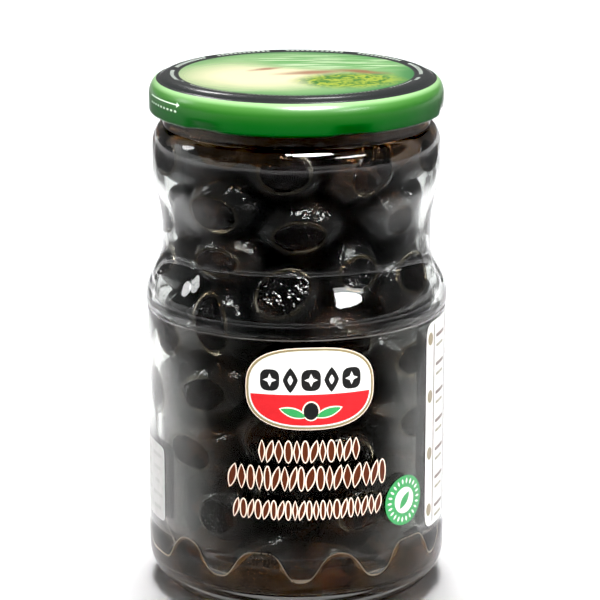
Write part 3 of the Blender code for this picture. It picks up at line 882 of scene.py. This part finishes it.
def make_oil_pool(olives):
    """The oil in the bottom: drawn up the glass at its edge, level in the middle, with a painted highlight
    along its top edge.
    """
    azimuths = even_azimuths(240)
    tops = smooth_ring(climb_heights(olives, azimuths), 6)
    low = FLOOR_HEIGHT - INTO_GLASS
    levels = 12
    bm = bmesh.new()
    rows = []
    for azimuth, top in zip(azimuths, tops):
        heights = [low + (top - low) * (i / levels) ** 1.5 for i in range(1, levels + 1)]
        heights.insert(-1, top - OIL_HIGHLIGHT_BAND)
        section = [(float(inner_radii(FLOOR_HEIGHT)) + 0.2 * MM, low)]
        section += [(float(wall_at(height, azimuth)) + INTO_GLASS, height) for height in heights]
        wall = section[-1][0]
        rise = top - OIL_LEVEL + 0.7 * MM
        for step, fall in ((0.35, 0.45), (0.9, 0.75), (1.8, 0.93), (3.0, 1.0)):
            section.append((wall - step * MM, OIL_LEVEL + rise * (1 - fall) - 0.1 * MM))
        section.append((20 * MM, OIL_LEVEL - 0.1 * MM))
        rows.append([bm.verts.new(ring_point(r, azimuth, z)) for r, z in section])
    # The faces at the oil's top edge get the pale edge material: a painted highlight of the oil line
    for j, face in join_rows(bm, rows, closed=False):
        if j in (levels, levels + 1):
            face.material_index = 1
    bm.faces.new([row[0] for row in rows])
    bm.faces.new([row[-1] for row in rows])
    amber = oil_material("amber_oil", (0.2, 0.08, 0.025), (0.5, 0.26, 0.1), 0.82)
    # Pale and mostly opaque: a painted highlight along the oil line
    edge = oil_material("oil_edge_painted_highlight", (0.75, 0.6, 0.42), (0.95, 0.86, 0.7), 0.3)
    pool = finish_object("oil_pool", bm, [amber, edge], radians(60))
    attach(pool, "root")


def make_menisci(contacts):
    bm = bmesh.new()
    for contact, radius in contacts:
        meniscus_ring(bm, contact, radius)
    clear_oil = oil_material("clear_oil", (0.86, 0.7, 0.48), (0.96, 0.9, 0.78))
    rings = finish_object("oil_menisci", bm, [clear_oil], radians(80))
    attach(rings, "root")


def make_neck_oil():
    """A thin film of oil left round the inside of the neck, drawn into ripples, with a wavy foot."""
    bm = bmesh.new()
    rows = []
    for azimuth in even_azimuths(360):
        wave = 1.6 * sin(5 * azimuth + 0.7) + 1.0 * sin(13 * azimuth) + 0.5 * sin(29 * azimuth)
        foot = NECK_OIL_FOOT + wave * MM
        drift = 2.0 * sin(3 * azimuth) + 1.4 * sin(7 * azimuth)
        inside, outside = [], []
        for share in spaced(0.0, 1.0, 30):
            height = foot + (NECK_OIL_TOP - foot) * share
            wall = float(wall_at(height, azimuth))
            ripple = 0.5 + 0.5 * sin(2.1 * height / MM + drift)
            rounding = sin(pi / 2 * min(1.0, share * 6 + 0.02)) * min(1.0, (1.02 - share) * 12)
            inside.append((wall - NECK_OIL_DEPTH * rounding * (0.35 + 0.65 * ripple), height))
            outside.append((wall + INTO_GLASS, height))
        rows.append([bm.verts.new(ring_point(r, azimuth, z)) for r, z in inside + outside[::-1]])
    join_rows(bm, rows)
    band = finish_object("neck_oil", bm, [oil_material("brown_oil", (0.42, 0.2, 0.08), (0.75, 0.48, 0.28))])
    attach(band, "root")


# Label


def squircle(centre, half, squareness=2.0, points=48):
    """A superellipse: 2 is an ellipse, 16 nearly a box. Outlines are in mm: along the label, and height."""
    outline = []
    for i in range(points):
        angle = 2 * pi * i / points
        c, s = cos(angle), sin(angle)
        x = half[0] * copysign(abs(c) ** (2 / squareness), c)
        z = half[1] * copysign(abs(s) ** (2 / squareness), s)
        outline.append((centre[0] + x, centre[1] + z))
    return outline


def leaf(centre, half, turn=0.0, points=12):
    """A pointed oval: two arcs that meet at its tips."""
    outline = []
    for side in (1, -1):
        for i in range(points):
            share = i / points
            x = half[0] * (1 - 2 * share) * side
            z = half[1] * side * sin(pi * share) ** 0.8
            outline.append((
                centre[0] + x * cos(turn) - z * sin(turn),
                centre[1] + x * sin(turn) + z * cos(turn),
            ))
    return outline


def star(centre, outer, inner, tips):
    outline = []
    for i in range(2 * tips):
        radius = outer if i % 2 == 0 else inner
        angle = pi * i / tips
        outline.append((centre[0] + radius * cos(angle), centre[1] + radius * sin(angle)))
    return outline


def lay_field(bm, outline, layer, slot, backing, surface):
    """Add one printed field as a thin closed plate: surface maps (along, height, lift) to a point.

    The lowest layer is dark underneath, so that its back doesn't shine on what is behind it.
    """
    flat = bmesh.new()
    flat.faces.new([flat.verts.new((x * MM, 0.0, z * MM)) for x, z in outline])
    lowest = min(x for x, z in outline) * MM
    highest = max(x for x, z in outline) * MM
    cuts = int((highest - lowest) / BEND_STEP)
    for i in range(1, cuts + 1):
        along = lowest + (highest - lowest) * i / (cuts + 1)
        geometry = flat.verts[:] + flat.edges[:] + flat.faces[:]
        bmesh.ops.bisect_plane(flat, geom=geometry, plane_co=(along, 0, 0), plane_no=(1, 0, 0))
    bmesh.ops.triangulate(flat, faces=flat.faces[:])
    low = layer * (PRINT_LAYER + PRINT_GAP)
    top = {vert: bm.verts.new(surface(vert.co.x, vert.co.z, low + PRINT_LAYER)) for vert in flat.verts}
    foot = {vert: bm.verts.new(surface(vert.co.x, vert.co.z, low)) for vert in flat.verts}
    under = slot if layer else backing
    for face in flat.faces:
        bm.faces.new([top[vert] for vert in face.verts]).material_index = slot
        bm.faces.new([foot[vert] for vert in reversed(face.verts)]).material_index = under
    for edge in flat.edges:
        if len(edge.link_faces) == 1:
            first, second = edge.verts
            bm.faces.new([top[first], top[second], foot[second], foot[first]]).material_index = slot
    flat.free()


def on_jar(along, height, lift):
    return ring_point(PRINT_RADIUS + lift, along / PRINT_RADIUS, height)


def on_skirt(along, height, lift):
    """A point on the lid's skirt, whose upper part leans in over the shoulder."""
    rise = max(0.0, height - LID_SKIRT_TOP) / (LID_SHOULDER_HEIGHT - LID_SKIRT_TOP)
    lean = (LID_RADIUS - LID_SHOULDER_RADIUS) * (1 - sqrt(1 - rise * rise))
    return ring_point(LID_RADIUS - lean + 0.02 * MM + lift, along / LID_RADIUS, height)


def print_piece(name, fields, materials, surface, node):
    """One piece of print from its fields, each (outline, layer, material index)."""
    bm = bmesh.new()
    for outline, layer, index in fields:
        lay_field(bm, outline, layer, index, len(materials), surface)
    backing = ink(name + "_backing", (0.012, 0.012, 0.012))
    piece = finish_object(name, bm, [*materials, backing], radians(20))
    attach(piece, "root")
    if node:
        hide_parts(node)


def make_film():
    outside = FILM_INSIDE + FILM_THICKNESS
    profile = [(FILM_INSIDE, FILM_FOOT)]
    profile += [(FILM_INSIDE, height) for height in spaced(FILM_FOOT + 1 * MM, FILM_TOP, 8)]
    profile += [(outside + 0.03 * MM, FILM_TOP), (outside + 0.03 * MM, FILM_TOP - 0.2 * MM)]
    profile += [(outside, height) for height in spaced(FILM_TOP - 0.3 * MM, FILM_FOOT, 8)]
    profile += [(FILM_INSIDE, FILM_FOOT)]
    bm = revolve(profile, even_azimuths(200))
    bmesh.ops.remove_doubles(bm, verts=bm.verts[:], dist=0.001 * MM)
    for face in bm.faces:
        height = face.calc_center_median().z
        if height > FILM_TOP - 0.28 * MM or height < FILM_FOOT + 0.05 * MM:
            face.material_index = 1
    film = finish_object("film_wrap", bm, [film_material(), film_edge_material()], radians(30))
    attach(film, "root")
    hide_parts("label_film")


def badge_fields():
    """A badge with a gold rim, a white upper field with bold ornaments, and a red foot with leaves."""
    cx, cz = 4.1, 70.5
    gold, white, red, black, green, pale = range(6)
    fields = [
        (squircle((cx, cz), (18.6, 12.0), 2.6), 0, pale),
        (squircle((cx, cz), (18.35, 11.75), 2.6), 1, gold),
        (squircle((cx, cz), (17.7, 11.1), 2.6), 2, white),
    ]
    inner = squircle((cx, cz), (17.2, 10.6), 2.6, 72)
    foot = [(x, min(z, cz - 2.4 - 1.5 * cos((x - cx) / 5.2))) for x, z in inner if z < cz]
    fields += [(foot, 3, red)]
    for x, is_lozenge in ((-11.6, False), (-5.8, True), (0.0, False), (5.8, True), (11.6, False)):
        spot = (cx + x, cz + 2.6)
        if is_lozenge:
            fields += [(squircle(spot, (2.1, 3.6), 1.25, 32), 3, black)]
            fields += [(squircle(spot, (0.75, 1.4), 1.25, 20), 4, white)]
        else:
            fields += [(squircle(spot, (2.75, 3.1), 3.0, 32), 3, black)]
            fields += [(star(spot, 1.9, 0.8, 4), 4, white)]
    for side in (-1, 1):
        spot = (cx + side * 4.9, cz - 6.9)
        fields += [(leaf(spot, (4.3, 1.5), side * 0.3), 4, pale)]
        fields += [(leaf(spot, (3.8, 1.1), side * 0.3), 5, green)]
    spot = (cx, cz - 6.4)
    fields += [(squircle(spot, (2.5, 2.9), 2.0, 32), 5, pale)]
    fields += [(squircle(spot, (2.1, 2.5), 2.0, 32), 6, black)]
    return fields


def ornament_row(centre, half, count, seed):
    """A row of slim ornaments, brown on a slightly larger cream shape: ovals, lozenges and leaves."""
    rng = np.random.default_rng(seed)
    widths = rng.uniform(0.85, 1.15, count)
    widths *= 2 * half[0] / widths.sum()
    rim = 0.42
    lean = radians(77)
    x = centre[0] - half[0]
    kind = 0
    fields = []
    for wide in widths:
        spot = (x + wide / 2, centre[1])
        x += wide
        arm = wide / 2 - 1.1 * rim
        kind = (kind + int(rng.integers(1, 3))) % 3
        for layer, (across, tall) in enumerate(((arm + rim, half[1]), (arm, half[1] - rim))):
            if kind == 2:
                outline = leaf(spot, (tall * (1.04, 1.02)[layer], across), lean)
            else:
                outline = squircle(spot, (across, tall), *((2.0, 28), (1.3, 24))[kind])
            fields += [(outline, layer, layer)]
    return fields


def seal_fields():
    """A round green seal: a ring of pale beads, and a green leaf on a pale middle."""
    centre = (34.4, 33.4)
    green, pale = 0, 1
    beads = 22
    fields = [(squircle(centre, (7.4, 7.4), 2.0, 56), 0, green)]
    for i in range(beads):
        angle = 2 * pi * i / beads
        spot = (centre[0] + 5.75 * cos(angle), centre[1] + 5.75 * sin(angle))
        fields += [(leaf(spot, (0.85, 0.34), angle, 6), 1, pale)]
    fields += [(squircle(centre, (3.9, 3.9), 2.0, 40), 1, pale)]
    fields += [(leaf(centre, (2.9, 1.15), radians(50)), 2, green)]
    return fields


def right_panel_fields():
    """The tall white panel at the right: gold discs, brown rules and pale bars."""
    cx, cz = 67.0, 52.5
    white, gold, brown, pale = range(4)
    fields = [(squircle((cx, cz), (22.5, 31.0), 16.0, 56), 0, white)]
    for x in (-17.5, -6.0, 19.0):
        fields += [(squircle((cx + x, cz), (0.22, 30.0), 16.0, 16), 1, brown)]
    bars = (
        (-12.0, 0.0, (3.9, 0.5), brown), (-12.5, -3.0, (3.2, 0.4), gold),
        (6.0, 0.0, (9.5, 0.45), brown), (5.0, -3.0, (8.5, 0.4), pale),
    )
    for i in range(7):
        z = cz + 26 - i * 8.6
        fields += [(squircle((cx - 20.0, z), (1.5, 1.9), 2.0, 24), 1, pale if i % 2 else gold)]
        for x, drop, half, tone in bars:
            fields += [(squircle((cx + x, z + drop), half, 6.0, 20), 1, tone)]
    return fields


def left_panel_fields():
    """The low white panel at the left, with grey bars of uneven length."""
    cx, cz = -67.0, 34.5
    white, grey = 0, 1
    fields = [(squircle((cx, cz), (20.5, 11.5), 16.0, 56), 0, white)]
    for i in range(5):
        for j, (x, half) in enumerate(((15.0, 3.6), (4.0, 5.5), (-10.0, 6.4))):
            half -= 0.9 * ((i + j) % 3)
            fields += [(squircle((cx + x, cz + 8 - i * 4), (half, 0.55), 6.0, 20), 1, grey)]
    return fields


def make_label():
    make_film()
    gold = ink("gold_ink", (0.2, 0.16, 0.085))
    white = ink("white_ink", (0.6, 0.595, 0.57))
    red = ink("red_ink", (0.46, 0.016, 0.02))
    black = ink("black_ink", (0.01, 0.01, 0.01))
    green = ink("green_ink", (0.03, 0.24, 0.07))
    brown = ink("brown_ink", (0.07, 0.016, 0.006))
    cream = ink("cream_ink", (0.7, 0.58, 0.48))
    pale = ink("pale_ink", (0.5, 0.5, 0.47))
    prints = [
        ("badge", badge_fields(), (gold, white, red, black, green, cream), "label_red_print"),
        ("row_top", ornament_row((3.8, 52.1), (14.7, 3.4), 12, 3), (cream, brown), "label_brown_print"),
        ("row_middle", ornament_row((3.5, 44.1), (23.6, 3.7), 18, 5), (cream, brown), "label_brown_print"),
        ("row_foot", ornament_row((3.6, 34.7), (22.1, 3.0), 21, 8), (cream, brown), "label_brown_print"),
        ("seal", seal_fields(), (green, white), "label_green_print"),
        ("right_panel", right_panel_fields(), (white, gold, brown, pale), "label_white_print"),
        ("left_panel", left_panel_fields(), (white, pale), "label_white_print"),
    ]
    for name, fields, inks, slot in prints:
        print_piece(name + "_print", fields, inks, on_jar, "label_" + name)


def make_lid_art():
    """A thin pale arrow round the left of the lid's skirt, with a row of small dashes under it."""
    pale = ink("pale_line_ink", (0.62, 0.75, 0.6))
    fields = [(squircle((-47.0, 147.6), (9.0, 0.17), 8.0, 16), 0, 0)]
    fields += [(star((-38.0, 147.6), 0.9, 0.42, 3), 0, 0)]
    for i in range(9):
        fields += [(squircle((-55.0 + i * 2.0, 145.7), (0.55, 0.3), 4.0, 12), 0, 0)]
    print_piece("lid_arrow", fields, [pale], on_skirt, None)


# Studio


def make_floor():
    bm = bmesh.new()
    bmesh.ops.create_grid(bm, x_segments=4, y_segments=4, size=4.0)
    material = new_material("pale_floor", (0.9, 0.9, 0.9), 0.6)
    tone = noise(material, place(material), 3.0, 2.0)
    tint(material, tone, [(0.3, (0.9, 0.9, 0.905)), (0.7, (0.93, 0.93, 0.93))])
    floor = finish_object("floor", bm, [material])
    return floor


def add_light(name, place_at, aim, size, power, shape="ELLIPSE", spread=180):
    data = bpy.data.lights.new(name, "AREA")
    data.shape = shape
    data.size, data.size_y = size
    data.energy = power
    data.spread = radians(spread)
    light = add_object(name, data)
    light.location = place_at
    light.visible_camera = False
    light.rotation_euler = (Vector(aim) - Vector(place_at)).to_track_quat("-Z", "Y").to_euler()
    return light


def link_light(lights, obj, state):
    """Let the lights fall only on an object (INCLUDE), or on all but it (EXCLUDE).

    The softboxes leave the floor out, because the glass would mirror a bright floor as haze.
    """
    receivers = bpy.data.collections.new(lights[0].name + "_receivers")
    receivers.objects.link(obj)
    receivers.collection_objects[0].light_linking.link_state = state
    for light in lights:
        light.light_linking.receiver_collection = receivers


def make_studio(lid):
    floor = make_floor()
    world = bpy.data.worlds.new("studio")
    world.use_nodes = True
    background = world.node_tree.nodes["Background"]
    background.inputs["Color"].default_value = (1.0, 1.0, 1.0, 1.0)
    background.inputs["Strength"].default_value = 0.2
    bpy.context.scene.world = world
    overheads = []
    for name, (x, y), height, size, spread in FLOOR_LIGHTS:
        power = FLOOR_WATTS * size[0] * size[1]
        overheads += [add_light(name, (x, y, height), (x, y, 0.0), size, power, "RECTANGLE", spread)]
    link_light(overheads, floor, "INCLUDE")
    softboxes = [
        add_light("softbox_left", (-0.76, 0.134, 0.44), (0.0, 0.0, 0.08), (0.17, 0.24), 1.1),
        add_light("softbox_right", (0.57, -0.53, 0.6), (0.0, 0.0, 0.09), (0.4, 0.1), 3.2),
        add_light("softbox_top", (0.12, -0.46, 0.84), (0.0, 0.0, 0.08), (0.46, 0.3), 34.0),
    ]
    link_light(softboxes, floor, "EXCLUDE")
    lid_lights = [
        add_light("gloss_left", (-0.24, 0.74, 0.78), (0.0, 0.0, 0.15), (0.16, 0.1), 0.7),
        add_light("gloss_right", (0.09, 0.6, 0.95), (0.0, 0.0, 0.15), (0.16, 0.1), 0.7),
        add_light("fill_left", (-0.75, -0.22, 0.05), (0.0, 0.0, 0.145), (0.3, 0.16), 9.0),
    ]
    lid_lights[2].visible_glossy = False
    for light in lid_lights:
        light.visible_transmission = False
    link_light(lid_lights, lid, "INCLUDE")


def make_camera():
    data = bpy.data.cameras.new("photo_camera")
    data.sensor_width = SENSOR_MM
    data.lens = FOCAL_PIXELS * SENSOR_MM / IMAGE_SIZE
    data.shift_x = (IMAGE_SIZE / 2 - JAR_AXIS_PIXEL) / IMAGE_SIZE
    camera = add_object("photo_camera", data)
    camera.location = (0.0, -CAMERA_DISTANCE, CAMERA_HEIGHT)
    camera.rotation_euler = (pi / 2 - CAMERA_DOWN, 0.0, 0.0)
    bpy.context.scene.camera = camera


make_camera()
make_glass()
make_studio(make_lid())
make_lid_art()
heap, wall_contacts = make_olives()
make_oil_pool(heap)
make_menisci(wall_contacts)
make_neck_oil()
make_label()

scene = bpy.context.scene
scene.view_settings.view_transform = "Standard"
scene.view_settings.use_curve_mapping = True
scene.view_settings.curve_mapping.black_level = (HAZE, HAZE, HAZE)
scene.view_settings.curve_mapping.update()
scene.cycles.blur_glossy = 0.0
scene.cycles.denoising_input_passes = "RGB_ALBEDO"
scene.cycles.max_bounces = 24
scene.cycles.transmission_bounces = 20
scene.cycles.transparent_max_bounces = 16
scene.cycles.glossy_bounces = 8
